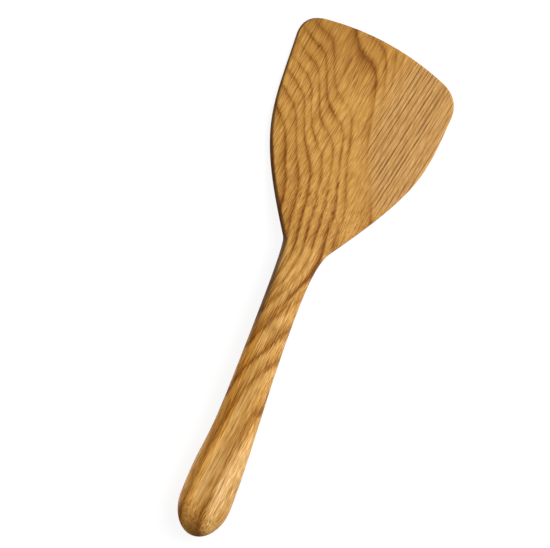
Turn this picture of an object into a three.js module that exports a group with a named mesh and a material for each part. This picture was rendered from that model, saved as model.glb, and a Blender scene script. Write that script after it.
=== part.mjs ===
// A kitchen spatula carved from one piece of oak: a rounded handle that swells towards its butt,
// a narrow throat, and a thin blade that fans out to a bowed, slanted front edge.
// Millimetres. +Z is up, +Y runs from the handle to the front edge, +X is the user's right.
// The origin lies on the blade's flat underside, on the handle's axis.
import * as THREE from "three";

// Lengths along the tool
const HANDLE_LENGTH = 176; // butt end to throat, where the shoulders start
const BLADE_LENGTH = 121; // throat to the leading, left corner of the front edge
const REST_FROM_THROAT = 74; // throat to the origin
const HEEL_FROM_THROAT = 36; // throat to where the underside turns flat
const BULB_FROM_BUTT = 21; // length of the rounded butt end

// Handle in plan
const BULB_WIDTH = 29.8;
const BULB_RUN = 34; // how far the bulb's fullness carries towards the waist
const WAIST_RUN = 48; // how far the waist's slimness carries towards the bulb
const LEFT_WAIST_REACH = 11.5; // axis to the left side where it is slimmest
const LEFT_WAIST_TO_THROAT = 84;
const LEFT_FLANK_RUN = 66; // how far the left side stays straight before the throat
const LEFT_THROAT_RUN = 3.5; // a short run turns tightly into the shoulder
const RIGHT_WAIST_REACH = 9.1;
const RIGHT_WAIST_TO_THROAT = 33;
const RIGHT_FLANK_RUN = 15;
const RIGHT_THROAT_RUN = 7;
const THROAT_WIDTH = 28.4;

// Blade in plan
const LEFT_REACH = 48.9; // axis to the left side of the blade
const RIGHT_REACH = 50;
const SHOULDER_ANGLE = 34; // degrees off the axis
const SHOULDER_RUN = 63; // how far the shoulders keep that angle
const CHEEK_ANGLE = 3; // degrees off the axis where the sides reach the corners
const CHEEK_FROM_THROAT = 62; // throat to where the sides start to run straight
const FRONT_DROP = 12.8; // how far the right corner lies behind the left one
const FRONT_BOW = 8.2; // rise of the front edge over the line between its corners
const CORNER_ROUND = 11.5;

// Side profile
const BULB_THICKNESS = 20;
const WAIST_THICKNESS = 14;
const WAIST_LIFT = 3.2; // gap under the handle when the spatula lies on a table
const WAIST_TO_THROAT = 58; // throat to the slimmest place of the profile
const THROAT_THICKNESS = 11.2;
const THROAT_LIFT = 2.2;
const HEEL_THICKNESS = 7.6;
const FRONT_THICKNESS = 2.8;
const FRONT_LAND = 1; // thickness left at the very edge of the front

// Cross-section: the top is crowned, and the sides are rounded over
const BULB_CROWN = 2.2; // fall of the top from its middle to its sides
const WAIST_CROWN = 1.4;
const THROAT_CROWN = 1.5;
const HEEL_CROWN = 1.6;
const FRONT_CROWN = 0.2;
const BULB_ROUND = 12.5; // width of the rounding on each side
const WAIST_ROUND = 5.5;
const THROAT_ROUND = 3.8;
const HEEL_ROUND = 2.8;
const FRONT_ROUND = 1.6;

// Facets
const SECTION_POINTS = 52; // round each cross-section
const BUTT_STEPS = 9;
const HANDLE_STEPS = 30;
const BLADE_STEPS = 26;
const CORNER_STEPS = 10;
const OUTLINE_STEPS = 240; // points along each curve of the outline

// Places along Y that follow from the lengths
const throatY = -REST_FROM_THROAT;
const buttY = throatY - HANDLE_LENGTH;
const bulbY = buttY + BULB_FROM_BUTT;
const waistY = throatY - WAIST_TO_THROAT;
const heelY = throatY + HEEL_FROM_THROAT;
const leftCornerY = throatY + BLADE_LENGTH;
const rightCornerY = leftCornerY - FRONT_DROP;

const lerp = THREE.MathUtils.lerp;
const smooth = (t) => THREE.MathUtils.smoothstep(t, 0, 1);

// Direction in plan that leans outwards from the tool's axis by an angle in degrees.
function leaning(degrees) {
  const angle = THREE.MathUtils.degToRad(degrees);
  return new THREE.Vector2(Math.sin(angle), Math.cos(angle));
}

// Quarter-round rise from 0 at an edge to 1 at the inner end of its rounding.
function rounded(fromEdge, width) {
  const left = 1 - THREE.MathUtils.clamp(fromEdge / width, 0, 1);
  return Math.sqrt(1 - left * left);
}

// Smooth function of y through knots [y, value]: a cubic that never overshoots its knots.
function through(knots) {
  const slopes = knots.slice(1).map(([y, v], i) => (v - knots[i][1]) / (y - knots[i][0]));
  const tangents = knots.map((_, i) => {
    const before = slopes[i - 1];
    const after = slopes[i];
    if (before === undefined || after === undefined || before * after <= 0) return 0;
    return (2 * before * after) / (before + after);
  });
  return (y) => {
    const last = knots.length - 2;
    const next = knots.findIndex((knot) => knot[0] >= y);
    const i = next < 0 ? last : THREE.MathUtils.clamp(next - 1, 0, last);
    const [y0, v0] = knots[i];
    const [y1, v1] = knots[i + 1];
    const span = y1 - y0;
    const t = THREE.MathUtils.clamp((y - y0) / span, 0, 1);
    const fromStart = v0 + t * t * (3 - 2 * t) * (v1 - v0);
    const startPull = t * (1 - t) * (1 - t) * span * tangents[i];
    const endPull = t * t * (1 - t) * span * tangents[i + 1];
    return fromStart + startPull - endPull;
  };
}

// One side of the plan outline, from the bulb to where the corner rounding starts.
// Its points hold the reach from the axis as x, whichever side it is.
function sideOutline(waistReach, waistToThroat, flankRun, throatRun, corner) {
  const bulb = new THREE.Vector2(BULB_WIDTH / 2, bulbY);
  const waist = new THREE.Vector2(waistReach, throatY - waistToThroat);
  const throat = new THREE.Vector2(THROAT_WIDTH / 2, throatY);
  const sideEnd = new THREE.Vector2(Math.abs(corner.x), corner.y - CORNER_ROUND);
  const cheekRun = sideEnd.y - throatY - CHEEK_FROM_THROAT;
  const shoulder = leaning(SHOULDER_ANGLE);
  const cheek = leaning(CHEEK_ANGLE);
  const curves = [
    new THREE.CubicBezierCurve(
      bulb,
      new THREE.Vector2(bulb.x, bulb.y + BULB_RUN),
      new THREE.Vector2(waist.x, waist.y - WAIST_RUN),
      waist,
    ),
    new THREE.CubicBezierCurve(
      waist,
      new THREE.Vector2(waist.x, waist.y + flankRun),
      throat.clone().addScaledVector(shoulder, -throatRun),
      throat,
    ),
    new THREE.CubicBezierCurve(
      throat,
      throat.clone().addScaledVector(shoulder, SHOULDER_RUN),
      sideEnd.clone().addScaledVector(cheek, -cheekRun),
      sideEnd,
    ),
  ];
  return curves.flatMap((curve) => curve.getPoints(OUTLINE_STEPS));
}

// Reach of a side at a place along the tool.
function reachAt(outline, y) {
  const next = outline.findIndex((point) => point.y >= y);
  if (next < 0) return outline[outline.length - 1].x;
  if (next === 0) return outline[0].x;
  const before = outline[next - 1];
  const after = outline[next];
  return lerp(before.x, after.x, (y - before.y) / (after.y - before.y));
}

// Front edge: a bowed line between the two corners, with the place along it from -1 to 1.
const leftCorner = new THREE.Vector2(-LEFT_REACH, leftCornerY);
const rightCorner = new THREE.Vector2(RIGHT_REACH, rightCornerY);
const frontHalf = rightCorner.clone().sub(leftCorner).multiplyScalar(0.5);
const cornerShare = 1 - CORNER_ROUND / frontHalf.length(); // place where the corner rounding ends

// Point of the line that crosses the tool from left to right, bowed forwards in its middle.
function across(left, right, bow, place) {
  const half = right.clone().sub(left).multiplyScalar(0.5);
  const forwards = new THREE.Vector2(-half.y, half.x).normalize();
  const middle = left.clone().add(right).multiplyScalar(0.5);
  return middle.addScaledVector(half, place).addScaledVector(forwards, bow * (1 - place * place));
}

const frontLeft = across(leftCorner, rightCorner, FRONT_BOW, -cornerShare);
const frontRight = across(leftCorner, rightCorner, FRONT_BOW, cornerShare);
const frontBow = FRONT_BOW * cornerShare * cornerShare;
const frontY = across(frontLeft, frontRight, frontBow, 0).y;

const leftSide = sideOutline(
  LEFT_WAIST_REACH,
  LEFT_WAIST_TO_THROAT,
  LEFT_FLANK_RUN,
  LEFT_THROAT_RUN,
  leftCorner,
);
const rightSide = sideOutline(
  RIGHT_WAIST_REACH,
  RIGHT_WAIST_TO_THROAT,
  RIGHT_FLANK_RUN,
  RIGHT_THROAT_RUN,
  rightCorner,
);

// Side profile and cross-section along the tool
const underside = through([
  [bulbY, 0],
  [waistY, WAIST_LIFT],
  [throatY, THROAT_LIFT],
  [heelY, 0],
  [frontY, 0],
]);
const thickness = through([
  [bulbY, BULB_THICKNESS],
  [waistY, WAIST_THICKNESS],
  [throatY, THROAT_THICKNESS],
  [heelY, HEEL_THICKNESS],
  [frontY, FRONT_THICKNESS],
]);
const crown = through([
  [bulbY, BULB_CROWN],
  [waistY, WAIST_CROWN],
  [throatY, THROAT_CROWN],
  [heelY, HEEL_CROWN],
  [frontY, FRONT_CROWN],
]);
const sideRound = through([
  [bulbY, BULB_ROUND],
  [waistY, WAIST_ROUND],
  [throatY, THROAT_ROUND],
  [heelY, HEEL_ROUND],
  [frontY, FRONT_ROUND],
]);

// Stations from the butt to the front edge: where each cross-section meets the outline on the
// left and right, how far it bows forwards, and how much of its full height it has.
function handleStation(y) {
  const left = new THREE.Vector2(-reachAt(leftSide, y), y);
  const right = new THREE.Vector2(reachAt(rightSide, y), y);
  return { left, right, bow: 0, height: 1 };
}

function buttStation(step) {
  const turn = (step / BUTT_STEPS) * (Math.PI / 2);
  const size = Math.sin(turn);
  const y = bulbY - BULB_FROM_BUTT * Math.cos(turn);
  const left = new THREE.Vector2((-BULB_WIDTH / 2) * size, y);
  const right = new THREE.Vector2((BULB_WIDTH / 2) * size, y);
  return { left, right, bow: 0, height: size };
}

function bladeStation(share) {
  const leftY = lerp(throatY, leftCornerY - CORNER_ROUND, share);
  const rightY = lerp(throatY, rightCornerY - CORNER_ROUND, share);
  const left = new THREE.Vector2(-reachAt(leftSide, leftY), leftY);
  const right = new THREE.Vector2(reachAt(rightSide, rightY), rightY);
  return { left, right, bow: frontBow * smooth(share), height: 1 };
}

function cornerStation(share) {
  const leftEnd = new THREE.Vector2(leftCorner.x, leftCorner.y - CORNER_ROUND);
  const rightEnd = new THREE.Vector2(rightCorner.x, rightCorner.y - CORNER_ROUND);
  const left = new THREE.QuadraticBezierCurve(leftEnd, leftCorner, frontLeft).getPoint(share);
  const right = new THREE.QuadraticBezierCurve(rightEnd, rightCorner, frontRight).getPoint(share);
  const fromFront = frontY - across(left, right, frontBow, 0).y;
  const land = FRONT_LAND / FRONT_THICKNESS;
  const height = lerp(land, 1, rounded(fromFront, FRONT_ROUND));
  return { left, right, bow: frontBow, height };
}

const steps = (count, make) => Array.from({ length: count }, (_, i) => make(i + 1));
const stations = [
  ...steps(BUTT_STEPS, buttStation),
  ...steps(HANDLE_STEPS, (i) => handleStation(lerp(bulbY, throatY, i / HANDLE_STEPS))),
  ...steps(BLADE_STEPS, (i) => bladeStation(i / BLADE_STEPS)),
  ...steps(CORNER_STEPS, (i) => cornerStation(i / CORNER_STEPS)),
];

// Closed cross-section of a station: SECTION_POINTS points, from the right edge over the top.
function section({ left, right, bow, height }) {
  const middle = across(left, right, bow, 0);
  const halfWidth = left.distanceTo(right) / 2;
  const base = underside(middle.y);
  const full = thickness(middle.y);
  const fall = crown(middle.y);
  const round = Math.min(sideRound(middle.y), halfWidth);
  const edge = base + (full - fall) / 2;
  return Array.from({ length: SECTION_POINTS }, (_, i) => {
    const turn = (i / SECTION_POINTS) * 2 * Math.PI;
    const place = Math.cos(turn);
    const point = across(left, right, bow, place);
    const rise = rounded(halfWidth * (1 - Math.abs(place)), round);
    const top = base + full - fall * place * place;
    const surface = Math.sin(turn) >= 0 ? top : base;
    return new THREE.Vector3(point.x, point.y, edge + (surface - edge) * rise * height);
  });
}

// Skin through all the sections, closed by a point at the butt and a strip along the front edge.
function loft(sections, pole) {
  const count = sections[0].length;
  const vertices = [pole, ...sections.flat()];
  const at = (row, column) => 1 + row * count + (column % count);
  const faces = [];
  for (let column = 0; column < count; column += 1) {
    faces.push(0, at(0, column), at(0, column + 1));
    for (let row = 0; row + 1 < sections.length; row += 1) {
      const corners = [at(row, column), at(row, column + 1), at(row + 1, column), at(row + 1, column + 1)];
      faces.push(corners[0], corners[2], corners[1], corners[1], corners[2], corners[3]);
    }
  }
  const last = sections.length - 1;
  for (let column = 0; column < count / 2; column += 1) {
    const top = [at(last, column), at(last, column + 1)];
    const bottom = [at(last, count - column), at(last, count - column - 1)];
    if (column > 0) faces.push(top[0], bottom[0], top[1]);
    if (column + 1 < count / 2) faces.push(top[1], bottom[0], bottom[1]);
  }
  const geometry = new THREE.BufferGeometry().setFromPoints(vertices);
  geometry.setIndex(faces);
  geometry.computeVertexNormals();
  return geometry;
}

const pole = new THREE.Vector3(0, buttY, (BULB_THICKNESS - BULB_CROWN) / 2);
const oak = new THREE.MeshStandardMaterial({ color: "#bf8a44", roughness: 0.5, metalness: 0 });
const spatula = new THREE.Mesh(loft(stations.map(section), pole), oak);
spatula.name = "spatula";

const part = new THREE.Group();
part.add(spatula);

export default part;
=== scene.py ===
"""A spatula carved from one piece of oak: its fine surface, its oiled finish and a plain studio.

Objects are in metres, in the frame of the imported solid: +Z up, +Y from the handle to the front edge.
The body's sizes and the grain's are given in millimetres. In the finish, places along the tool count
from the butt end, and a zone gives where something starts to show and where it shows in full.
"""

import logging
import math
from dataclasses import dataclass
from enum import Enum
from functools import reduce
from typing import Optional, Sequence, Union

import bpy
import numpy as np
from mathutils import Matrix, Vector, noise


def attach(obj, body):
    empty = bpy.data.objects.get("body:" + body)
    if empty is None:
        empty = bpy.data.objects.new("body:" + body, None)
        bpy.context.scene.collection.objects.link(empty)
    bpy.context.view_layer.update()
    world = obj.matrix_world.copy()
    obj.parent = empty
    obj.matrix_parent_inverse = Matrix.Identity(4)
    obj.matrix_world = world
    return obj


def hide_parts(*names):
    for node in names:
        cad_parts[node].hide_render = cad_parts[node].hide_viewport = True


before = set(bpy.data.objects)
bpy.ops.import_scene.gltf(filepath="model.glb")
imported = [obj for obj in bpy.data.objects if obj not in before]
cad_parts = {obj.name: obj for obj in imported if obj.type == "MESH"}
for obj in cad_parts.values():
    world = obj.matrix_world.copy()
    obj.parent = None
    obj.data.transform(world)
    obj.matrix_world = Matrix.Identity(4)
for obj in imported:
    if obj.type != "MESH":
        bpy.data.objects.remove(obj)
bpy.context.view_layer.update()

log = logging.getLogger("spatula")

MM = 0.001
NODE = "spatula"
BODY = "root"
PHOTO_WIDTH_PX = 550
CLOUD_MIDDLE = 0.5
CLOUD_REACH = 0.25

Socket = bpy.types.NodeSocket
Feed = Union[Socket, float, Sequence[float]]
Sizes = tuple[float, float, float]
Range = tuple[float, float]
Knots = tuple[tuple[float, float], ...]
Colour = tuple[float, float, float, float]


class Side(Enum):
    """The two sides of the tool, seen from above with the front edge away."""

    LEFT = -1
    RIGHT = 1


def srgb(red: int, green: int, blue: int) -> Colour:
    """Turns a colour as seen on a screen into the linear colour that a shader takes.

    Args:
        red: Red, from 0 to 255.
        green: Green, from 0 to 255.
        blue: Blue, from 0 to 255.

    Returns:
        Linear red, green, blue and an alpha of 1.
    """

    def linear(level: int) -> float:
        """Undoes the screen's curve for one channel."""
        share = level / 255
        return share / 12.92 if share <= 0.04045 else ((share + 0.055) / 1.055) ** 2.4

    return linear(red), linear(green), linear(blue), 1.0


def grey(level: float) -> Colour:
    """Linear colour of an even grey."""
    return level, level, level, 1.0


def bezier(points: Sequence[np.ndarray], steps: int) -> np.ndarray:
    """Samples a Bezier curve of any degree.

    Args:
        points: Control points of the curve.
        steps: Number of equal steps along its parameter.

    Returns:
        One row for each of the steps + 1 points.
    """
    share = np.linspace(0.0, 1.0, steps + 1)[:, None]
    level = [np.broadcast_to(point, (steps + 1, len(point))) for point in points]
    while len(level) > 1:
        level = [a + (b - a) * share for a, b in zip(level, level[1:])]
    return level[0]


def leaning(degrees: float) -> np.ndarray:
    """Direction in plan that leans outwards from the tool's axis by an angle."""
    angle = math.radians(degrees)
    return np.array([math.sin(angle), math.cos(angle)])


def rounded(from_edge: np.ndarray, width: float) -> np.ndarray:
    """Quarter-round rise from 0 at an edge to 1 at the inner end of its rounding."""
    left = 1.0 - np.clip(np.asarray(from_edge) / width, 0.0, 1.0)
    return np.sqrt(1.0 - left * left)


class Through:
    """A smooth function through knots that never overshoots them."""

    def __init__(self, *knots: tuple[float, float]) -> None:
        """Works out the slope at each knot.

        Args:
            knots: Pairs of place and value, in order of place.
        """
        self.places = [place for place, _ in knots]
        self.values = [value for _, value in knots]
        rises = np.diff(self.values) / np.diff(self.places)
        self.slopes = [0.0] * len(knots)
        for i, (before, after) in enumerate(zip(rises, rises[1:]), start=1):
            if before * after > 0:
                self.slopes[i] = 2 * before * after / (before + after)

    def __call__(self, place: float) -> float:
        """Works out the function's value.

        Args:
            place: Where; the end values hold beyond the ends.

        Returns:
            The value there.
        """
        last = len(self.places) - 2
        i = int(np.clip(np.searchsorted(self.places, place) - 1, 0, last))
        span = self.places[i + 1] - self.places[i]
        t = min(max((place - self.places[i]) / span, 0.0), 1.0)
        start, end = self.values[i], self.values[i + 1]
        eased = start + t * t * (3 - 2 * t) * (end - start)
        start_pull = t * (1 - t) ** 2 * span * self.slopes[i]
        end_pull = t * t * (1 - t) * span * self.slopes[i + 1]
        return eased + start_pull - end_pull


@dataclass(frozen=True)
class Flank:
    """One side of the plan outline, in millimetres from the tool's axis and its throat.

    A run is how far the outline keeps its direction at the waist or the throat.
    """

    waist_reach: float
    waist_to_throat: float
    waist_run: float
    throat_run: float
    blade_reach: float


@dataclass(frozen=True)
class Profile:
    """Heights of a cross-section, in millimetres.

    The lift is the gap under it on a table, the crown is the fall of its top from the middle to the
    sides, and the side round is the width of the rounding at each side.
    """

    lift: float
    thickness: float
    crown: float
    side_round: float


@dataclass
class Station:
    """One cross-section: its ends on the outline, its forward bow and its share of full height."""

    left: np.ndarray
    right: np.ndarray
    bow: float = 0.0
    height: float = 1.0

    def across(self, place: np.ndarray) -> np.ndarray:
        """Points of the bowed line from left to right.

        Args:
            place: Places from -1 at the left end to 1 at the right end.

        Returns:
            One row of x and y for each place.
        """
        half = (self.right - self.left) / 2
        forwards = np.array([-half[1], half[0]]) / np.hypot(*half)
        place = np.atleast_1d(place)[:, None]
        return (self.left + self.right) / 2 + half * place + forwards * self.bow * (1 - place**2)

    @property
    def middle_y(self) -> float:
        """Place of the section's middle along the tool."""
        return float(self.across(np.zeros(1))[0, 1])

    @property
    def half_width(self) -> float:
        """Half the distance between the section's ends."""
        return float(np.hypot(*(self.right - self.left))) / 2


@dataclass
class Spatula:
    """The carved body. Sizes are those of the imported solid, in millimetres.

    The origin lies on the blade's underside, rest_from_throat in front of the throat, where the
    shoulders start. A run is how far the outline keeps its direction.
    """

    handle_length: float = 176.0
    blade_length: float = 121.0
    rest_from_throat: float = 74.0
    heel_from_throat: float = 36.0
    waist_to_throat: float = 58.0
    bulb_from_butt: float = 21.0
    bulb_width: float = 29.8
    bulb_run: float = 34.0
    waist_run: float = 48.0
    throat_width: float = 28.4
    shoulder_angle: float = 34.0
    shoulder_run: float = 63.0
    cheek_angle: float = 3.0
    cheek_from_throat: float = 62.0
    front_drop: float = 12.8
    front_bow: float = 8.2
    front_land: float = 1.0
    corner_round: float = 11.5
    left: Flank = Flank(
        waist_reach=11.5, waist_to_throat=84.0, waist_run=66.0, throat_run=3.5, blade_reach=48.9
    )
    right: Flank = Flank(
        waist_reach=9.1, waist_to_throat=33.0, waist_run=15.0, throat_run=7.0, blade_reach=50.0
    )
    bulb: Profile = Profile(lift=0.0, thickness=20.0, crown=2.2, side_round=12.5)
    waist: Profile = Profile(lift=3.2, thickness=14.0, crown=1.4, side_round=5.5)
    throat: Profile = Profile(lift=2.2, thickness=11.2, crown=1.5, side_round=3.8)
    heel: Profile = Profile(lift=0.0, thickness=7.6, crown=1.6, side_round=2.8)
    front: Profile = Profile(lift=0.0, thickness=2.8, crown=0.2, side_round=1.6)
    sanding_depth: float = 0.07
    sanding_length: float = 26.0
    section_points: int = 160
    butt_steps: int = 28
    handle_steps: int = 120
    blade_steps: int = 110
    corner_steps: int = 34
    outline_steps: int = 400

    def __post_init__(self) -> None:
        """Works out the places along the tool, the plan outline and the sections' heights."""
        self.throat_y = -self.rest_from_throat
        self.butt_y = self.throat_y - self.handle_length
        self.bulb_y = self.butt_y + self.bulb_from_butt
        corner_y = self.throat_y + self.blade_length
        self.corners = {
            Side.LEFT: np.array([-self.left.blade_reach, corner_y]),
            Side.RIGHT: np.array([self.right.blade_reach, corner_y - self.front_drop]),
        }
        edge = Station(*self.corners.values(), self.front_bow)
        share = 1 - self.corner_round / edge.half_width
        self.inner_bow = self.front_bow * share**2
        self.front_ends = dict(zip(Side, edge.across(np.array([-share, share]))))
        self.front_y = Station(*self.front_ends.values(), self.inner_bow).middle_y
        self.outlines = {
            Side.LEFT: self.outline(self.left, self.corners[Side.LEFT]),
            Side.RIGHT: self.outline(self.right, self.corners[Side.RIGHT]),
        }
        profiles = {
            self.bulb_y: self.bulb,
            self.throat_y - self.waist_to_throat: self.waist,
            self.throat_y: self.throat,
            self.throat_y + self.heel_from_throat: self.heel,
            self.front_y: self.front,
        }

        def along(size: str) -> Through:
            """Function through one size of the five profiles."""
            return Through(*((y, getattr(profile, size)) for y, profile in profiles.items()))

        self.lift = along("lift")
        self.thickness = along("thickness")
        self.crown = along("crown")
        self.side_round = along("side_round")

    def outline(self, flank: Flank, corner: np.ndarray) -> np.ndarray:
        """Plan outline of one side, from the bulb to where its corner's rounding starts.

        Args:
            flank: Sizes of the side.
            corner: Sharp corner of the front edge on that side.

        Returns:
            Rows of reach from the axis and place along the tool.
        """
        bulb = np.array([self.bulb_width / 2, self.bulb_y])
        waist = np.array([flank.waist_reach, self.throat_y - flank.waist_to_throat])
        throat = np.array([self.throat_width / 2, self.throat_y])
        end = np.array([abs(corner[0]), corner[1] - self.corner_round])
        shoulder = leaning(self.shoulder_angle)
        cheek_run = end[1] - self.throat_y - self.cheek_from_throat
        curves = (
            (bulb, bulb + (0, self.bulb_run), waist - (0, self.waist_run), waist),
            (waist, waist + (0, flank.waist_run), throat - flank.throat_run * shoulder, throat),
            (
                throat,
                throat + self.shoulder_run * shoulder,
                end - cheek_run * leaning(self.cheek_angle),
                end,
            ),
        )
        return np.vstack([bezier(curve, self.outline_steps) for curve in curves])

    def on_side(self, side: Side, y: float) -> np.ndarray:
        """Point of a side's outline at a place along the tool."""
        outline = self.outlines[side]
        return np.array([side.value * np.interp(y, outline[:, 1], outline[:, 0]), y])

    def butt_stations(self) -> list[Station]:
        """Sections of the rounded butt end, growing from its pole to the bulb.

        Returns:
            The sections, without the pole.
        """
        turns = np.linspace(0.0, math.pi / 2, self.butt_steps + 1)[1:]
        made = []
        for turn in turns:
            reach = self.bulb_width / 2 * math.sin(turn)
            y = self.bulb_y - self.bulb_from_butt * math.cos(turn)
            made.append(Station(np.array([-reach, y]), np.array([reach, y]), 0.0, math.sin(turn)))
        return made

    def handle_stations(self) -> list[Station]:
        """Straight sections from the bulb to the throat."""
        places = np.linspace(self.bulb_y, self.throat_y, self.handle_steps + 1)[1:]
        return [Station(self.on_side(Side.LEFT, y), self.on_side(Side.RIGHT, y)) for y in places]

    def blade_stations(self) -> list[Station]:
        """Sections that turn and bow little by little into line with the front edge.

        Returns:
            The sections, from the throat to where the corners' roundings start.
        """
        runs = {side: self.corners[side][1] - self.corner_round - self.throat_y for side in Side}
        made = []
        for share in np.linspace(0.0, 1.0, self.blade_steps + 1)[1:]:
            ends = [self.on_side(side, self.throat_y + share * runs[side]) for side in Side]
            made.append(Station(*ends, self.inner_bow * share * share * (3 - 2 * share)))
        return made

    def corner_stations(self) -> list[Station]:
        """Sections round the front corners, thinning to the rounded front edge.

        Returns:
            The sections, the last of them on the front edge.
        """
        paths = []
        for side in Side:
            start = self.corners[side] - (0, self.corner_round)
            bend = (start, self.corners[side], self.front_ends[side])
            paths.append(bezier(bend, self.corner_steps)[1:])
        land = self.front_land / self.front.thickness
        made = []
        for left, right in zip(*paths):
            station = Station(left, right, self.inner_bow)
            rise = float(rounded(self.front_y - station.middle_y, self.front.side_round))
            station.height = land + (1 - land) * rise
            made.append(station)
        return made

    def section(self, station: Station) -> np.ndarray:
        """Closed cross-section, from the right edge over the top and back underneath.

        Args:
            station: Where the section lies.

        Returns:
            Rows of x, y and z.
        """
        y = station.middle_y
        base, full, fall = self.lift(y), self.thickness(y), self.crown(y)
        turn = np.linspace(0.0, 2 * math.pi, self.section_points, endpoint=False)
        place = np.cos(turn)
        plan = station.across(place)
        round_width = min(self.side_round(y), station.half_width)
        rise = rounded(station.half_width * (1 - np.abs(place)), round_width)
        edge = base + (full - fall) / 2
        surface = np.where(np.sin(turn) >= 0, base + full - fall * place**2, base)
        return np.column_stack([plan, edge + (surface - edge) * rise * station.height])

    def skin(self) -> tuple[np.ndarray, list[tuple[int, ...]]]:
        """Joins the sections into one closed surface.

        Returns:
            Its vertices, in millimetres, and its faces.
        """
        stations = self.butt_stations() + self.handle_stations()
        stations += self.blade_stations() + self.corner_stations()
        count = self.section_points
        pole = np.array([[0.0, self.butt_y, (self.bulb.thickness - self.bulb.crown) / 2]])
        vertices = np.vstack([pole, *(self.section(station) for station in stations)])

        def at(row: int, column: int) -> int:
            """Index of a section's vertex."""
            return 1 + row * count + column % count

        faces = [(0, at(0, i), at(0, i + 1)) for i in range(count)]
        for row in range(len(stations) - 1):
            for i in range(count):
                faces.append((at(row, i), at(row + 1, i), at(row + 1, i + 1), at(row, i + 1)))
        last = len(stations) - 1
        for i in range(1, count // 2 - 1):
            faces.append((at(last, i), at(last, -i), at(last, -i - 1), at(last, i + 1)))
        faces.append((at(last, 0), at(last, -1), at(last, 1)))
        middle = count // 2
        faces.append((at(last, middle - 1), at(last, middle + 1), at(last, middle)))
        return vertices, faces

    def sand(self, mesh: bpy.types.Mesh) -> None:
        """Gives the upper surface the slight unevenness that hand sanding leaves.

        Args:
            mesh: The body's mesh, in metres.
        """
        normals = [vertex.normal.copy() for vertex in mesh.vertices]
        for vertex, normal in zip(mesh.vertices, normals):
            if normal.z > 0:
                wave = noise.noise(vertex.co / (self.sanding_length * MM)) - 1
                vertex.co += normal * normal.z * wave * self.sanding_depth * MM / 2

    def build(self) -> bpy.types.Object:
        """Makes the body's mesh and puts it in the solid's place.

        Returns:
            The new piece.
        """
        vertices, faces = self.skin()
        mesh = bpy.data.meshes.new("oak_body")
        mesh.from_pydata((vertices * MM).tolist(), [], faces)
        mesh.validate()
        mesh.update()
        self.sand(mesh)
        mesh.shade_smooth()
        mesh.update()
        body = bpy.data.objects.new("oak_body", mesh)
        bpy.context.scene.collection.objects.link(body)
        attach(body, BODY)
        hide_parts(NODE)
        return body

    def dress(self, body: bpy.types.Object, finish: "OiledOak") -> None:
        """Gives the body made by build its oak."""
        body.data.materials.append(finish.material(self))


@dataclass(frozen=True)
class Sway:
    """Noise that swings to about plus and minus a reach, in patches of a size along each axis."""

    size: Sizes
    reach: float
    detail: float = 2.0


@dataclass(frozen=True)
class Flecks:
    """Noise in patches of a size along each axis, cut to a mask between two levels."""

    size: Sizes
    cut: Range
    detail: float = 2.0
    rough: float = 0.5


@dataclass(frozen=True)
class Drawn:
    """A smooth line through given knots of place and value, and the span of its values."""

    knots: Knots
    span: Range


@dataclass(frozen=True)
class Tones:
    """Three tones of one wood, from its lightest to its darkest."""

    light: Colour
    middle: Colour
    dark: Colour
    middle_at: float = 0.45


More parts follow.
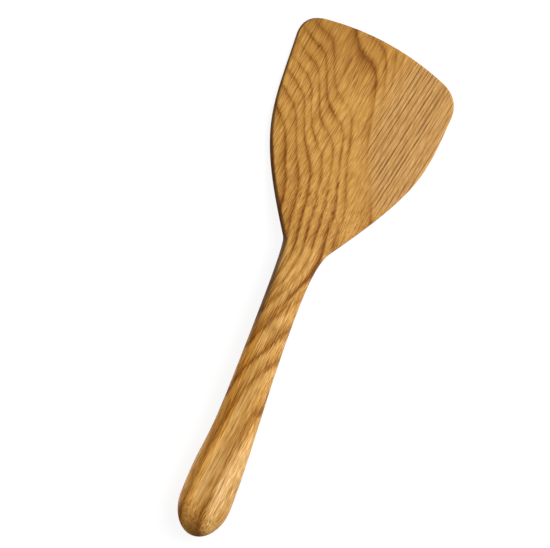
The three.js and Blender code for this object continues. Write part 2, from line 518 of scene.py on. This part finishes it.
class Graph:
    """Adds nodes to one node tree and links them."""

    def __init__(self, tree: bpy.types.NodeTree) -> None:
        """Keeps the tree to add to."""
        self.tree = tree

    def node(self, kind: str, inputs: Optional[dict] = None, **settings: object) -> bpy.types.Node:
        """Adds a node.

        Args:
            kind: Blender's name for the node's type.
            inputs: Values or sockets for the node's inputs, by name or number.
            settings: Properties of the node itself.

        Returns:
            The new node.
        """
        made = self.tree.nodes.new(kind)
        for name, value in settings.items():
            setattr(made, name, value)
        for name, value in (inputs or {}).items():
            self.feed(made.inputs[name], value)
        return made

    def feed(self, socket: Socket, value: Feed) -> None:
        """Links an input to a socket, or sets its own value.

        Args:
            socket: The input.
            value: The socket or the value.
        """
        if isinstance(value, bpy.types.NodeSocket):
            self.tree.links.new(value, socket)
        else:
            socket.default_value = value

    def math(self, operation: str, *values: Feed, clamp: bool = False) -> Socket:
        """One step of arithmetic on up to three values."""
        made = self.node("ShaderNodeMath", dict(enumerate(values)), operation=operation, use_clamp=clamp)
        return made.outputs[0]

    def plus(self, *values: Feed) -> Socket:
        """Sum of two or more values."""
        return reduce(lambda total, value: self.math("ADD", total, value), values)

    def minus(self, value: Feed, less: Feed) -> Socket:
        """Difference of two values."""
        return self.math("SUBTRACT", value, less)

    def times(self, *values: Feed) -> Socket:
        """Product of two or more values."""
        return reduce(lambda product, value: self.math("MULTIPLY", product, value), values)

    def step(self, value: Feed, start: Feed, end: Feed) -> Socket:
        """Smooth rise from 0 at a start to 1 at an end, which may be the lesser of the two."""
        inputs = {"Value": value, "From Min": start, "From Max": end}
        return self.node("ShaderNodeMapRange", inputs, interpolation_type="SMOOTHSTEP").outputs[0]

    def lerp(self, share: Feed, start: Feed, end: Feed) -> Socket:
        """Value between a start and an end by a share from 0 to 1."""
        made = self.node("ShaderNodeMix", {0: share, 2: start, 3: end}, data_type="FLOAT")
        return made.outputs[0]

    def blend(self, share: Feed, under: Feed, over: Feed, mode: str = "MIX") -> Socket:
        """Colour laid over another by a share from 0 to 1, in one of Blender's blend modes."""
        inputs = {0: share, 6: under, 7: over}
        return self.node("ShaderNodeMix", inputs, data_type="RGBA", blend_type=mode).outputs[2]

    def toned(self, shade: Feed, tones: Tones) -> Socket:
        """Colour between three tones.

        Args:
            shade: Darkness, from 0 to 1.
            tones: The tones.

        Returns:
            The colour.
        """
        made = self.node("ShaderNodeValToRGB", {"Fac": shade})
        elements = made.color_ramp.elements
        elements[0].color, elements[1].color = tones.light, tones.dark
        elements.new(tones.middle_at).color = tones.middle
        return made.outputs[0]

    def scaled(self, vector: Feed, sizes: Sizes) -> Socket:
        """Vector divided by a size along each axis."""
        made = self.node("ShaderNodeVectorMath", {0: vector, 1: sizes}, operation="DIVIDE")
        return made.outputs[0]

    def cloud(self, vector: Feed, size: Sizes, detail: float = 2.0, rough: float = 0.5) -> Socket:
        """Noise from about 0.25 to 0.75, in patches of a size along each axis."""
        inputs = {"Vector": self.scaled(vector, size), "Scale": 1.0, "Detail": detail, "Roughness": rough}
        return self.node("ShaderNodeTexNoise", inputs).outputs[0]

    def swing(self, vector: Feed, sway: Sway) -> Socket:
        """Noise about 0 that keeps to a sway's reach."""
        centred = self.minus(self.cloud(vector, sway.size, sway.detail), CLOUD_MIDDLE)
        return self.times(centred, sway.reach / CLOUD_REACH)

    def mask(self, vector: Feed, flecks: Flecks, more: Feed = 0.0) -> Socket:
        """Noise, with more added to it, cut to a mask from 0 to 1."""
        level = self.plus(self.cloud(vector, flecks.size, flecks.detail, flecks.rough), more)
        return self.step(level, *flecks.cut)

    def drawn(self, place: Feed, line: Drawn) -> Socket:
        """Value of a drawn line.

        Args:
            place: Place along the line.
            line: The line.

        Returns:
            The value there.
        """
        start, length = line.knots[0][0], line.knots[-1][0] - line.knots[0][0]
        low, height = line.span[0], line.span[1] - line.span[0]
        square = [((at - start) / length, (value - low) / height) for at, value in line.knots]
        share = self.math("DIVIDE", self.minus(place, start), length)
        made = self.node("ShaderNodeFloatCurve", {"Value": share})
        points = made.mapping.curves[0].points
        points[0].location, points[1].location = square[0], square[-1]
        for at, value in square[1:-1]:
            points.new(at, value)
        made.mapping.update()
        return self.plus(self.times(made.outputs[0], height), low)

    def chances(self, number: Feed) -> list[Socket]:
        """Three chance values from 0 to 1 that belong to one whole number."""
        made = self.node("ShaderNodeTexWhiteNoise", {"W": number}, noise_dimensions="1D")
        return list(self.node("ShaderNodeSeparateColor", {0: made.outputs["Color"]}).outputs)


class Board(Graph):
    """Nodes of the oak board, with sockets for where a spot lies on the tool and how it faces.

    Places are in millimetres from the butt end. The fibre is the place turned so that its second axis
    follows the wood's fibres.
    """

    def __init__(self, tree: bpy.types.NodeTree, butt_y: float, lean: float) -> None:
        """Adds the nodes that find the spot.

        Args:
            tree: Node tree to add to.
            butt_y: Place of the butt end along the tool.
            lean: Angle of the fibres to the tool's axis.
        """
        super().__init__(tree)
        coords = self.node("ShaderNodeTexCoord").outputs
        from_butt = (0.0, -butt_y * MM, 0.0)
        moved = self.node("ShaderNodeVectorMath", {0: coords["Object"], 1: from_butt}, operation="ADD")
        self.place = self.scaled(moved.outputs[0], (MM, MM, MM))
        self.x, self.y, self.z = self.node("ShaderNodeSeparateXYZ", {0: self.place}).outputs
        turned = {"Vector": self.place, "Angle": math.radians(lean)}
        self.fibre = self.node("ShaderNodeVectorRotate", turned, rotation_type="Z_AXIS").outputs[0]
        self.normal = coords["Normal"]
        faces_right = self.node("ShaderNodeSeparateXYZ", {0: self.normal}).outputs[0]
        self.faces_left = self.times(faces_right, -1.0)


@dataclass(frozen=True)
class Grain:
    """What the wood shows at a spot, as sockets from 0 to 1.

    The shade is the darkness of rings and pore lines, and pale is the share of the paler wood at the
    blade's right.
    """

    shade: Socket
    pale: Socket
    vessels: Socket
    hatch: Socket
    speckle: Socket
    end: Socket


@dataclass(frozen=True)
class RingSet:
    """The rings of one zone.

    Years count the dark lines by their distance from the tree's heart. Breadth is the share of the
    darkness that grows slowly through a ring, and fading is how steeply the darkness may end after a
    dark line.
    """

    years: Drawn
    breadth: float
    fading: Range


@dataclass(frozen=True)
class GrowthRings:
    """Growth rings of a board whose heart lies to the left of the tool and below it."""

    heart_aside: Drawn = Drawn(
        ((0, -178), (30, -178.5), (75, -175.5), (120, -159), (180, -135), (240, -124), (300, -113)),
        span=(-185.0, -105.0),
    )
    heart_depth: Drawn = Drawn(
        ((0, 55), (50, 46), (100, 38), (150, 36), (190, 61), (220, 83), (260, 116), (300, 146)),
        span=(20.0, 160.0),
    )
    blade: RingSet = RingSet(
        Drawn(
            (
                (112, 0), (125, 2), (138.5, 4), (148.2, 6), (158, 8),
                (163, 9), (177, 10), (183, 11), (189.5, 12), (208, 15),
            ),
            span=(0, 15),
        ),
        breadth=0.45,
        fading=(5.0, 8.0),
    )
    handle: RingSet = RingSet(
        Drawn(
            (
                (125, 0), (136, 1), (146, 2), (151.5, 3), (160.5, 4),
                (171, 5), (180, 6), (193, 7), (206, 8),
            ),
            span=(0, 8),
        ),
        breadth=0.6,
        fading=(5.0, 9.0),
    )
    blade_zone: Range = (128.0, 162.0)
    neck_zone: Range = (205.0, 175.0)
    neck_firmness: float = 1.5
    butt_zone: Range = (32.0, 8.0)
    butt_firmness: float = 1.35
    blade_rings_on_handle: float = 0.15
    drift: Sway = Sway((26.0, 55.0, 26.0), reach=0.4, detail=1.0)
    wobble: Sway = Sway((6.0, 16.0, 6.0), reach=0.25)
    feather: Sway = Sway((0.8, 10.0, 0.8), reach=0.5)
    raggedness: Sway = Sway((0.6, 9.0, 0.6), reach=1.3)
    strength: Flecks = Flecks((14.0, 30.0, 14.0), cut=(0.3, 0.6))
    least_strength: float = 0.45
    least_line: float = 0.65
    slow_powers: Range = (1.2, 2.2)
    late_power: float = 7.0
    wave_zone: Range = (195.0, 245.0)
    wave_heights: Range = (0.92, 2.3)
    wave_rise: Range = (-42.0, -26.0)
    wave_length: float = 33.0
    wave_lean: float = 0.15
    wave_start: float = -65.0
    crowding: float = 0.012
    crowding_from: float = -5.0

    def radius(self, g: Board, bend: Socket) -> Socket:
        """Distance from the tree's bowed heart, with the rings' waves and crowding on the blade.

        Args:
            g: The board.
            bend: Local bending of the rings.

        Returns:
            The distance, which is even along each growth ring.
        """
        aside = g.minus(g.x, g.drawn(g.y, self.heart_aside))
        depth = g.plus(g.drawn(g.y, self.heart_depth), g.z)
        squares = g.plus(g.times(aside, aside), g.times(depth, depth))
        across = g.minus(g.x, g.times(g.y, self.wave_lean))
        turn = g.times(g.minus(across, self.wave_start), 2 * math.pi / self.wave_length)
        height = g.lerp(g.step(g.x, *self.wave_rise), *self.wave_heights)
        wave = g.times(g.math("SINE", turn), height)
        past = g.math("MAXIMUM", g.minus(g.x, self.crowding_from), 0.0)
        crowd = g.times(past, past, self.crowding)
        on_blade = g.times(g.step(g.y, *self.wave_zone), g.plus(wave, crowd))
        return g.plus(g.math("SQRT", squares), bend, on_blade)

    def shade(self, g: Board, radius: Socket, rings: RingSet) -> Socket:
        """Darkness within each ring, growing to its dark line and fading sooner after it.

        Args:
            g: The board.
            radius: Distance from the tree's heart.
            rings: The zone's rings.

        Returns:
            Darkness from 0 to 1.
        """
        years = g.drawn(radius, rings.years)
        year = g.math("FLOOR", years)
        phase = g.math("FRACT", years)
        coming, gone = g.chances(g.plus(year, 1.0)), g.chances(year)
        slow = g.math("POWER", phase, g.lerp(coming[0], *self.slow_powers))
        late = g.lerp(rings.breadth, g.math("POWER", phase, self.late_power), slow)
        late = g.times(late, g.lerp(coming[2], self.least_line, 1.0))
        early = g.math("POWER", g.minus(1.0, phase), g.lerp(gone[1], *rings.fading))
        early = g.times(early, g.lerp(gone[2], self.least_line, 1.0))
        return g.math("MAXIMUM", late, early)

    def darkness(self, g: Board, wobble: Socket, feather: Socket) -> Socket:
        """Darkness of the rings: narrow on the blade, broad and ragged on the handle.

        Args:
            g: The board.
            wobble: Quick bending of the rings.
            feather: Small shift of the rings from fibre to fibre.

        Returns:
            Darkness from 0 to 1.
        """
        radius = self.radius(g, g.plus(g.swing(g.place, self.drift), wobble))
        narrow = self.shade(g, g.plus(radius, feather), self.blade)
        narrow = g.times(narrow, g.lerp(g.mask(g.place, self.strength), self.least_strength, 1.0))
        at_neck = g.lerp(g.step(g.y, *self.neck_zone), 1.0, self.neck_firmness)
        on_blade = g.math("MULTIPLY", narrow, at_neck, clamp=True)
        broad = self.shade(g, g.plus(radius, g.swing(g.fibre, self.raggedness)), self.handle)
        at_butt = g.lerp(g.step(g.y, *self.butt_zone), 1.0, self.butt_firmness)
        broad = g.math("MULTIPLY", broad, at_butt, clamp=True)
        on_handle = g.plus(broad, g.times(narrow, self.blade_rings_on_handle))
        return g.lerp(g.step(g.y, *self.blade_zone), on_handle, on_blade)


@dataclass(frozen=True)
class PoreLines:
    """A set of pore lines: the gap between them, their width and their greatest darkness."""

    gap: float
    width: float
    most: float


@dataclass(frozen=True)
class StraightGrain:
    """The paler wood at the blade's right, where pores lie in thin straight lines.

    Its left edge is a parabola with its tip at edge_x and edge_y.
    """

    edge_x: float = 9.5
    edge_y: float = 262.0
    edge_bend: float = 170.0
    edge_feather: float = 5.0
    zone: Range = (192.0, 218.0)
    pale_from_edge: Range = (-9.0, 10.0)
    straight_from_edge: Range = (-6.0, 6.0)
    rings_left: float = 0.15
    sets: tuple[PoreLines, PoreLines] = (
        PoreLines(gap=2.7, width=0.44, most=1.0),
        PoreLines(gap=2.0, width=0.38, most=0.6),
    )
    lean: float = 11.0
    wobble_share: float = 0.5
    line_zone: Range = (185.0, 215.0)
    lines_past_edge: float = 0.3
    line_middles: Range = (0.25, 0.75)
    line_sides: Range = (0.8, 1.2)
    least_line: float = 0.6
    rim: Range = (34.0, 50.0)
    lines_at_rim: float = 0.8
    dashes: Flecks = Flecks((1.1, 20.0, 1.0), cut=(0.38, 0.54), detail=3.0)
    dash_strengths: Range = (0.4, 1.1)

    def shares(self, g: Board, feather: Socket) -> tuple[Socket, Socket]:
        """How far a spot lies in this wood.

        Args:
            g: The board.
            feather: Small shift of the grain from fibre to fibre.

        Returns:
            Shares of the pale tone and of the straight grain.
        """
        off = g.minus(g.y, self.edge_y)
        edge = g.plus(g.math("DIVIDE", g.times(off, off), self.edge_bend), self.edge_x)
        past = g.minus(g.plus(g.x, g.times(feather, self.edge_feather)), edge)
        on_blade = g.step(g.y, *self.zone)
        pale = g.times(g.step(past, *self.pale_from_edge), on_blade)
        straight = g.times(g.step(past, *self.straight_from_edge), on_blade)
        return pale, straight

    def one_set(self, g: Board, upright: Socket, pores: PoreLines) -> Socket:
        """Darkness of one set of lines, each a little off its even place.

        Args:
            g: The board.
            upright: Place across the lines.
            pores: The set.

        Returns:
            Darkness from 0 to 1.
        """
        count = g.math("DIVIDE", upright, pores.gap)
        chance = g.chances(g.math("FLOOR", count))
        middle = g.lerp(chance[1], *self.line_middles)
        off = g.math("ABSOLUTE", g.minus(g.math("FRACT", count), middle))
        half = pores.width / pores.gap / 2
        line = g.minus(1.0, g.step(off, *(half * side for side in self.line_sides)))
        return g.times(line, g.lerp(chance[0], self.least_line * pores.most, pores.most))

    def lines(self, g: Board, wobble: Socket, straight: Socket) -> Socket:
        """Darkness of the pore lines, which break off here and there.

        Args:
            g: The board.
            wobble: Quick bending of the grain.
            straight: Share of the straight grain.

        Returns:
            Darkness from 0 to about 1.
        """
        slant = g.times(g.y, math.tan(math.radians(self.lean)))
        upright = g.plus(g.minus(g.x, slant), g.times(wobble, self.wobble_share))
        beside = g.node("ShaderNodeCombineXYZ", {0: upright, 1: g.y}).outputs[0]
        both = g.math("MAXIMUM", *(self.one_set(g, upright, pores) for pores in self.sets))
        at_rim = g.lerp(g.step(g.x, *self.rim), 1.0, self.lines_at_rim)
        dashed = g.lerp(g.mask(beside, self.dashes), *self.dash_strengths)
        shown = g.times(g.lerp(straight, self.lines_past_edge, 1.0), g.step(g.y, *self.line_zone))
        return g.times(both, at_rim, dashed, shown)


@dataclass(frozen=True)
class Fibres:
    """Thin dark vessels, the softer hatch of fibres between them, and fine speckle.

    The fibres lean by an angle from the tool's axis. Dark rings hold more vessels, pale wood fewer.
    """

    lean: float = 6.0
    vessels: Flecks = Flecks((0.4, 24.0, 1.0), cut=(0.6, 0.67), detail=1.0)
    vessels_on_rings: float = 0.18
    vessels_on_pale: float = -0.5
    hatch: Flecks = Flecks((0.6, 26.0, 0.8), cut=(0.3, 0.7), rough=0.6)
    speckle: Flecks = Flecks((0.5, 7.0, 0.5), cut=(0.28, 0.72), detail=1.0)


@dataclass(frozen=True)
class WearAndPaintedLight:
    """What use has left on the tool, with painted shade on its left sides and a partly painted sheen on
    the bulb. A gain is for red, green and blue.
    """

    # Lightness along the tool: brighter on the bulb, partly as a painted sheen, and darker at the heel.
    lightness_and_sheen: Drawn = Drawn(
        (
            (0, 1.06), (32, 1.2), (75, 1.05), (120, 0.99), (160, 1.0),
            (190, 0.85), (215, 0.9), (250, 0.905), (300, 0.93),
        ),
        span=(0.5, 1.5),
    )
    stain_zone: Range = (250.0, 300.0)
    stain_across: Range = (24.0, -24.0)
    stained: float = 0.77
    rubbed_zone: Range = (82.0, 34.0)
    off_butt_zone: Range = (2.0, 26.0)
    shaft_zone: Range = (190.0, 150.0)
    shaft_share: float = 0.25
    # This gain pales the wood where the hand rubs and also paints a sheen on the bulb.
    rubbed_and_sheen_gain: Sizes = (1.03, 1.12, 1.55)
    # Painted shade: the handle's left side, away from the light, is tinted warmer.
    painted_shade_warmth_zone: Range = (150.0, 110.0)
    painted_shade_warmth_facing: Range = (0.0, 0.65)
    painted_shade_warmth_gain: Sizes = (1.3, 1.08, 0.6)
    # Painted shade: these edge numbers place a darker tone on the blade's left edge, which faces away
    # from the light.
    edge_zone: Range = (105.0, 140.0)
    edge_turn: Range = (160.0, 205.0)
    edge_facings: Range = (0.5, 0.12)
    edge_blur: float = 0.45
    edge_share: float = 0.8

    def level(self, g: Board) -> Socket:
        """Lightness along the tool, partly a painted sheen on the bulb, with the front's left half
        stained by cooking.
        """
        stain = g.times(g.step(g.y, *self.stain_zone), g.step(g.x, *self.stain_across))
        return g.times(g.lerp(stain, 1.0, self.stained), g.drawn(g.y, self.lightness_and_sheen))

    def rubbed_and_sheen(self, g: Board) -> Socket:
        """Share of the handle that the hand rubs paler, most of all on the bulb, where its gain also
        paints a sheen.
        """
        bulb = g.times(g.step(g.y, *self.rubbed_zone), g.step(g.y, *self.off_butt_zone))
        return g.math("MAXIMUM", bulb, g.times(g.step(g.y, *self.shaft_zone), self.shaft_share))

    def painted_shade_warmth(self, g: Board) -> Socket:
        """Share of painted warm shade on the handle's left side, which faces away from the light."""
        return g.times(g.step(g.faces_left, *self.painted_shade_warmth_facing), g.step(g.y, *self.painted_shade_warmth_zone))

    def painted_shade_edge(self, g: Board) -> Socket:
        """Share of painted shade on the blade's left edge, which faces away from the light.

        Args:
            g: The board.

        Returns:
            Share from 0 to 1.
        """
        least = g.lerp(g.step(g.y, *self.edge_turn), *self.edge_facings)
        facing = g.step(g.faces_left, least, g.plus(least, self.edge_blur))
        return g.times(facing, g.step(g.y, *self.edge_zone), self.edge_share)


@dataclass(frozen=True)
class OiledOak:
    """Oiled, finely sanded oak."""

    name: str = "oiled_oak"
    rings: GrowthRings = GrowthRings()
    straight: StraightGrain = StraightGrain()
    fibres: Fibres = Fibres()
    # Marks of use, with painted shade on the left sides and a partly painted sheen on the bulb.
    wear: WearAndPaintedLight = WearAndPaintedLight()
    warm: Tones = Tones(srgb(228, 173, 90), srgb(198, 137, 54), srgb(136, 74, 3))
    pale: Tones = Tones(srgb(220, 170, 105), srgb(184, 128, 52), srgb(72, 28, 0))
    pore: Colour = srgb(112, 60, 4)
    # Dark tone of end grain, also used for the painted shade on the blade's left edge.
    end_grain_and_shade_tone: Colour = srgb(98, 55, 12)
    end_lean: float = 9.0
    end_facing: Range = (0.2, 0.75)
    end_share: float = 0.5
    tint_powers: Sizes = (1.0, 1.35, 2.4)
    handle_streaks: float = 0.46
    bulb_streaks: float = 0.4
    blade_streaks: float = 0.26
    pale_streaks: float = 0.12
    # The speckle's lightness range is partly a painted glint.
    speckle_and_glint_levels: Range = (0.85, 1.15)
    patch_size: Sizes = (22.0, 70.0, 22.0)
    patch_levels: Range = (0.9, 1.1)
    vessel_shares: Range = (0.6, 0.4)
    shine: float = 0.22
    roughness: float = 0.5
    vessel_roughness: float = 0.7
    hatch_roughness: Range = (0.05, -0.03)
    bulb_roughness: float = 0.37
    end_roughness: float = 0.95
    relief_strength: float = 0.35
    relief_depth: float = 0.08
    hatch_height: float = 0.25

    def material(self, body: Spatula) -> bpy.types.Material:
        """Builds the shader.

        Args:
            body: The spatula that the board's figure is laid out on.

        Returns:
            The material.
        """
        made = bpy.data.materials.new(self.name)
        made.use_nodes = True
        made.node_tree.nodes.clear()
        g = Board(made.node_tree, body.butt_y, self.fibres.lean)
        grain = self.grain(g)
        shader = g.node(
            "ShaderNodeBsdfPrincipled",
            {
                "Base Color": self.colour(g, grain),
                "Roughness": self.gloss(g, grain),
                "Specular IOR Level": self.shine,
                "Normal": self.relief(g, grain),
            },
        )
        g.node("ShaderNodeOutputMaterial", {"Surface": shader.outputs[0]})
        return made

    def grain(self, g: Board) -> Grain:
        """Lays out the rings, the pore lines and the fibres.

        Args:
            g: The board.

        Returns:
            What the wood shows there.
        """
        wobble = g.swing(g.fibre, self.rings.wobble)
        feather = g.swing(g.fibre, self.rings.feather)
        rings = self.rings.darkness(g, wobble, feather)
        pale, straight = self.straight.shares(g, feather)
        lines = self.straight.lines(g, wobble, straight)
        rings_shown = g.times(rings, g.lerp(straight, 1.0, self.straight.rings_left))
        band = g.lerp(pale, rings, self.fibres.vessels_on_pale)
        return Grain(
            shade=g.math("MAXIMUM", lines, rings_shown),
            pale=pale,
            vessels=g.mask(g.fibre, self.fibres.vessels, g.times(band, self.fibres.vessels_on_rings)),
            hatch=g.mask(g.fibre, self.fibres.hatch),
            speckle=g.mask(g.fibre, self.fibres.speckle),
            end=self.end_grain(g),
        )

    def end_grain(self, g: Board) -> Socket:
        """Share of end grain, where a surface that looks back cuts across the fibres.

        Args:
            g: The board.

        Returns:
            Share from 0 to 1.
        """
        lean = math.radians(self.end_lean)
        back = (-math.sin(lean), -math.cos(lean), 0.0)
        along = g.node("ShaderNodeVectorMath", {0: g.normal, 1: back}, operation="DOT_PRODUCT")
        return g.step(along.outputs["Value"], *self.end_facing)

    def level(self, g: Board, grain: Grain) -> Socket:
        """Lightness from fibre streaks, speckle that is partly a painted glint, broad patches, and use
        with a partly painted sheen on the bulb.

        Args:
            g: The board.
            grain: What the wood shows there.

        Returns:
            Lightness, which is 1 where the tones stay as they are.
        """
        on_bulb = g.step(g.y, *self.wear.rubbed_zone)
        on_handle = g.lerp(on_bulb, self.handle_streaks, self.bulb_streaks)
        on_blade = g.lerp(grain.pale, self.blade_streaks, self.pale_streaks)
        strength = g.lerp(g.step(g.y, *self.rings.blade_zone), on_handle, on_blade)
        streak = g.plus(g.times(g.minus(grain.hatch, CLOUD_MIDDLE), strength), 1.0)
        speckle = g.lerp(grain.speckle, *self.speckle_and_glint_levels)
        patch = g.lerp(g.cloud(g.fibre, self.patch_size), *self.patch_levels)
        return g.times(streak, speckle, patch, self.wear.level(g))

    def tinted(self, g: Board, colour: Socket, level: Socket, gains: Sequence[tuple]) -> Socket:
        """Colour made lighter or darker as wood is, with green and blue changing more than red.

        Args:
            g: The board.
            colour: Colour to change.
            level: Lightness, which is 1 where the colour stays.
            gains: Pairs of a share and the gain of red, green and blue where the share is 1.

        Returns:
            The changed colour.
        """
        channels = []
        for channel, power in enumerate(self.tint_powers):
            value = g.math("POWER", level, power)
            for share, gain in gains:
                value = g.times(value, g.lerp(share, 1.0, gain[channel]))
            channels.append(value)
        made = g.node("ShaderNodeCombineColor", dict(enumerate(channels)))
        return g.blend(1.0, colour, made.outputs[0], "MULTIPLY")

    def colour(self, g: Board, grain: Grain) -> Socket:
        """Colour of the wood, with its vessels, end grain, a partly painted sheen on the bulb, painted
        warm shade on the handle's left side and painted shade on the blade's left edge.

        Args:
            g: The board.
            grain: What the wood shows there.

        Returns:
            The colour.
        """
        wood = g.blend(grain.pale, g.toned(grain.shade, self.warm), g.toned(grain.shade, self.pale))
        rubbed_and_sheen = self.wear.rubbed_and_sheen(g)
        # Gains: paler wood where the hand rubs, with a partly painted sheen on the bulb, and painted warm
        # shade on the handle's left side.
        gains = (
            (rubbed_and_sheen, self.wear.rubbed_and_sheen_gain),
            (self.wear.painted_shade_warmth(g), self.wear.painted_shade_warmth_gain),
        )
        wood = self.tinted(g, wood, self.level(g, grain), gains)
        in_vessels = g.times(grain.vessels, g.lerp(rubbed_and_sheen, *self.vessel_shares))
        wood = g.blend(in_vessels, wood, self.pore)
        wood = g.blend(g.times(grain.end, self.end_share), wood, self.end_grain_and_shade_tone)
        # Painted shade: the blade's left edge, facing away from the light, takes the dark end-grain tone.
        return g.blend(self.wear.painted_shade_edge(g), wood, self.end_grain_and_shade_tone)

    def gloss(self, g: Board, grain: Grain) -> Socket:
        """Roughness: more in the vessels and on end grain, less where the hand rubs.

        Args:
            g: The board.
            grain: What the wood shows there.

        Returns:
            The roughness.
        """
        sanded = g.lerp(grain.vessels, self.roughness, self.vessel_roughness)
        sanded = g.plus(sanded, g.lerp(grain.hatch, *self.hatch_roughness))
        handled = g.lerp(g.step(g.y, *self.wear.rubbed_zone), sanded, self.bulb_roughness)
        return g.lerp(grain.end, handled, self.end_roughness)

    def relief(self, g: Board, grain: Grain) -> Socket:
        """Fine relief: vessels lie open, and the fibres between them stand a little proud.

        Args:
            g: The board.
            grain: What the wood shows.

        Returns:
            The bent normal.
        """
        height = g.minus(g.times(grain.hatch, self.hatch_height), grain.vessels)
        inputs = {
            "Strength": self.relief_strength,
            "Distance": self.relief_depth * MM,
            "Height": height,
        }
        return g.node("ShaderNodeBump", inputs).outputs[0]


@dataclass
class Studio:
    """White floor, soft light from the right, and a camera straight above, in metres and degrees."""

    floor_size: float = 6.0
    floor_tone: float = 0.17
    floor_white: float = 0.92
    floor_glow: float = 0.89
    sky: float = 0.37
    sky_rise: Range = (-0.5, 1.0)
    key_power: float = 14.5
    key_size: float = 0.8
    key_distance: float = 1.3
    key_turn: float = 35.0
    key_height: float = 48.0
    camera_height: float = 4.0
    lean: float = 21.5
    pixel_mm: float = 0.56524
    centre: tuple[float, float] = (-0.0105, -0.0957)
    sensor_mm: float = 36.0

    def build(self) -> None:
        """Makes the floor, the light, the sky and the camera."""
        self.floor()
        self.key()
        self.backdrop()
        self.camera()

    def floor(self) -> None:
        """Makes a plain floor under the tool."""
        half = self.floor_size / 2
        corners = [(-half, -half, 0), (half, -half, 0), (half, half, 0), (-half, half, 0)]
        mesh = bpy.data.meshes.new("floor")
        mesh.from_pydata(corners, [], [(0, 1, 2, 3)])
        mesh.materials.append(self.paper())
        made = bpy.data.objects.new("floor", mesh)
        bpy.context.scene.collection.objects.link(made)

    def paper(self) -> bpy.types.Material:
        """Makes the floor's finish, which looks white and keeps the close shadow.

        Returns:
            The material.
        """
        made = bpy.data.materials.new("white_floor")
        made.use_nodes = True
        made.node_tree.nodes.clear()
        g = Graph(made.node_tree)
        path = g.node("ShaderNodeLightPath").outputs
        seen = g.math("MAXIMUM", path["Is Camera Ray"], path["Is Glossy Ray"])
        seen = g.math("MAXIMUM", seen, path["Is Transmission Ray"])
        matt = g.node("ShaderNodeBsdfDiffuse", {"Color": grey(self.floor_tone)})
        glow = g.node("ShaderNodeEmission", {"Strength": g.times(seen, self.floor_glow)})
        looks = g.node("ShaderNodeAddShader", {0: matt.outputs[0], 1: glow.outputs[0]})
        white = g.node("ShaderNodeBsdfDiffuse", {"Color": grey(self.floor_white)})
        both = g.node("ShaderNodeMixShader", {0: seen, 1: white.outputs[0], 2: looks.outputs[0]})
        g.node("ShaderNodeOutputMaterial", {"Surface": both.outputs[0]})
        return made

    def key(self) -> None:
        """Hangs one broad soft light at the right of the picture."""
        turn, rise = math.radians(self.key_turn), math.radians(self.key_height)
        level = Vector((math.cos(turn), math.sin(turn), 0.0)) * math.cos(rise)
        from_middle = level + Vector((0.0, 0.0, math.sin(rise)))
        lamp = bpy.data.lights.new("key", "AREA")
        lamp.energy = self.key_power
        lamp.size = self.key_size
        made = bpy.data.objects.new("key", lamp)
        made.location = Vector((*self.centre, 0.0)) + from_middle * self.key_distance
        made.rotation_euler = (-from_middle).to_track_quat("-Z", "Y").to_euler()
        bpy.context.scene.collection.objects.link(made)

    def backdrop(self) -> None:
        """Makes a sky that lights softly and looks white."""
        world = bpy.data.worlds.new("studio")
        world.use_nodes = True
        world.node_tree.nodes.clear()
        g = Graph(world.node_tree)
        ray = g.node("ShaderNodeTexCoord").outputs["Generated"]
        rise = g.node("ShaderNodeSeparateXYZ", {0: ray}).outputs[2]
        overhead = g.times(g.step(rise, *self.sky_rise), self.sky)
        camera = g.node("ShaderNodeLightPath").outputs["Is Camera Ray"]
        strength = g.lerp(camera, overhead, 1.0)
        sky = g.node("ShaderNodeBackground", {"Color": grey(1.0), "Strength": strength})
        g.node("ShaderNodeOutputWorld", {"Surface": sky.outputs[0]})
        bpy.context.scene.world = world

    def camera(self) -> None:
        """Sets the camera straight above, turned so that the tool leans to the right."""
        lens = bpy.data.cameras.new("camera")
        lens.sensor_width = self.sensor_mm
        across = PHOTO_WIDTH_PX * self.pixel_mm * MM
        lens.lens = self.sensor_mm * self.camera_height / across
        made = bpy.data.objects.new("camera", lens)
        made.location = (*self.centre, self.camera_height)
        made.rotation_euler = (0.0, 0.0, math.radians(self.lean))
        bpy.context.scene.collection.objects.link(made)
        bpy.context.scene.camera = made


def main() -> None:
    """Builds the spatula, dresses it and sets up the studio."""
    logging.basicConfig(level=logging.INFO, format="%(name)s: %(message)s")
    spatula = Spatula()
    body = spatula.build()
    log.info("%s: %d faces", body.name, len(body.data.polygons))
    finish = OiledOak()
    spatula.dress(body, finish)
    log.info("%s wears %s", body.name, finish.name)
    Studio().build()
    log.info("studio: floor, light, sky and camera")
    bpy.context.scene.view_settings.view_transform = "Standard"


if __name__ == "__main__":
    main()
